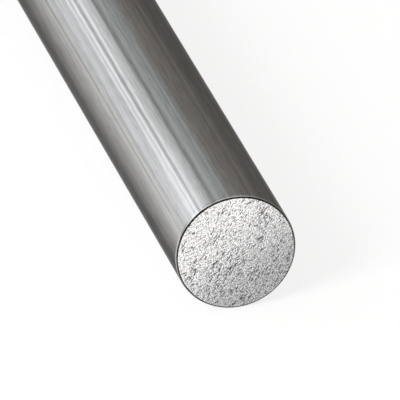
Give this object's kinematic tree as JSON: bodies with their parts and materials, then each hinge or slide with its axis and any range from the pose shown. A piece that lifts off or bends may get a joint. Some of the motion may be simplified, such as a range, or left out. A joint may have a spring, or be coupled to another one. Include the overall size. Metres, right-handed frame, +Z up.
{
  "type": "solid round steel bar",
  "caption": "Solid round steel bar with a bright drawn side, rough granular cropped ends and a narrow broken corner at each end; stock for frames, pins, shafts and brackets.",
  "frame": {"origin": "on the resting plane, under the middle of the bar's length", "axes": "+X along the bar's axis, towards the end that the picture shows; +Z up, from the resting line on its side"},
  "size_m": [0.5, 0.025, 0.025],
  "materials": {
    "drawn_steel": "bright drawn side with lengthwise streaks; pale granular cropped ends"
  },
  "bodies": {
    "root": {"round_bar": "drawn_steel"}
  },
  "joints": []
}
